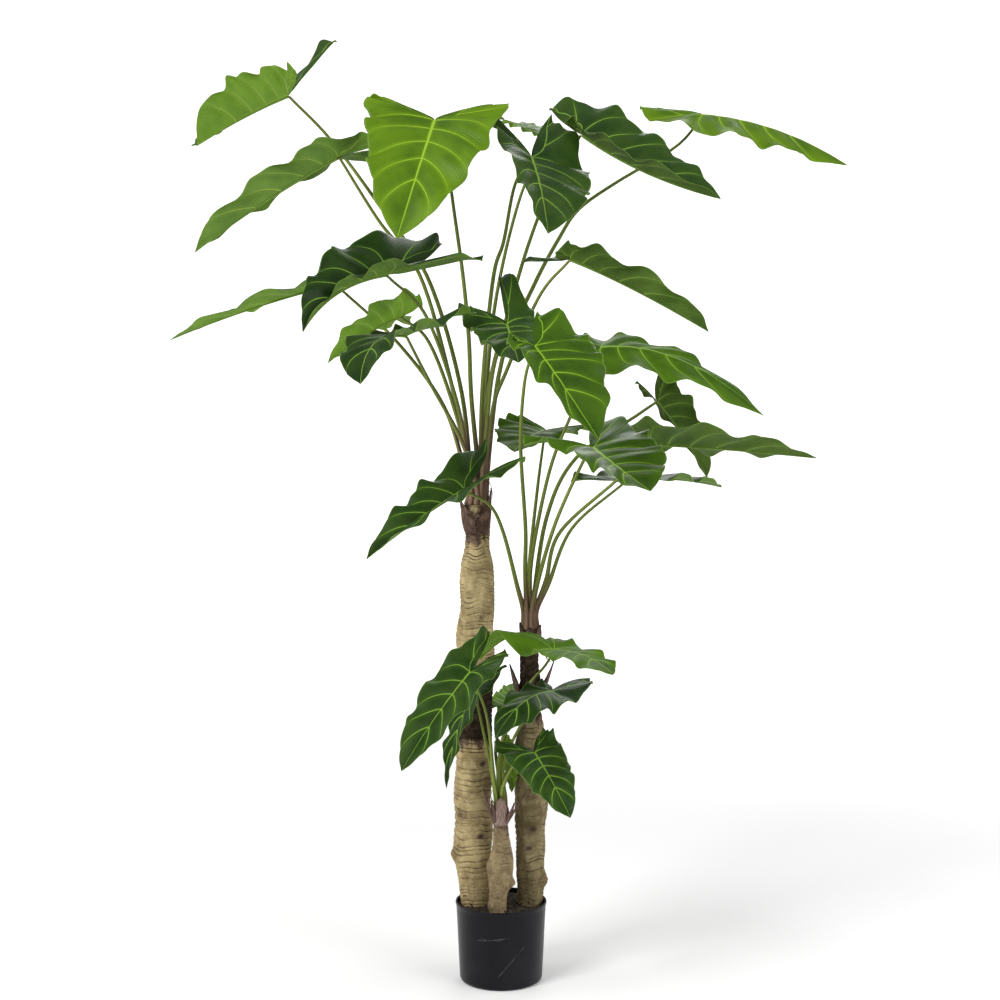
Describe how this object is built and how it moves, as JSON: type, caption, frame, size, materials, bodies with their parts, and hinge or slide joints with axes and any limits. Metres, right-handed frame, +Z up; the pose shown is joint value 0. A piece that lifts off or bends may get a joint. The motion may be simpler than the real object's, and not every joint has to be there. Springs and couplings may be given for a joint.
{
  "type": "potted giant taro",
  "caption": "Tall potted giant taro with ringed tan trunks of uneven height, husk collars and a crown of wavy arrow-shaped leaves on long stalks over each trunk.",
  "frame": {"origin": "middle of the pot's flat underside", "axes": "+Z up the trunks, -Y towards the front of the plant as pictured, +X to the viewer's right"},
  "size_m": [1.26, 0.814, 1.7994],
  "materials": {
    "black_plastic": "semi-matte, scuffed",
    "dark_fill": "rough, granular",
    "tan_bark": "matte, ringed",
    "dry_husk": "matte, fibrous",
    "leaf_green": "satin, veined"
  },
  "bodies": {
    "root": {"pot": "black_plastic", "soil": "dark_fill", "trunk_tall": "tan_bark", "trunk_right": "tan_bark", "trunk_small": "tan_bark", "husk_tall": "dry_husk", "husk_right_top": "dry_husk", "husk_right_low": "dry_husk", "husk_small": "dry_husk", "leaf_tall_1": "leaf_green", "leaf_tall_2": "leaf_green", "leaf_tall_3": "leaf_green", "leaf_tall_4": "leaf_green", "leaf_tall_5": "leaf_green", "leaf_tall_6": "leaf_green", "leaf_tall_7": "leaf_green", "leaf_tall_8": "leaf_green", "leaf_tall_9": "leaf_green", "leaf_tall_10": "leaf_green", "leaf_tall_11": "leaf_green", "leaf_tall_12": "leaf_green", "leaf_tall_13": "leaf_green", "leaf_right_1": "leaf_green", "leaf_right_2": "leaf_green", "leaf_right_3": "leaf_green", "leaf_right_4": "leaf_green", "leaf_right_5": "leaf_green", "leaf_right_6": "leaf_green", "leaf_right_7": "leaf_green", "leaf_right_8": "leaf_green", "leaf_small_1": "leaf_green", "leaf_small_2": "leaf_green", "leaf_small_3": "leaf_green", "leaf_small_4": "leaf_green", "leaf_small_5": "leaf_green", "leaf_small_6": "leaf_green", "leaf_small_7": "leaf_green"}
  },
  "joints": []
}
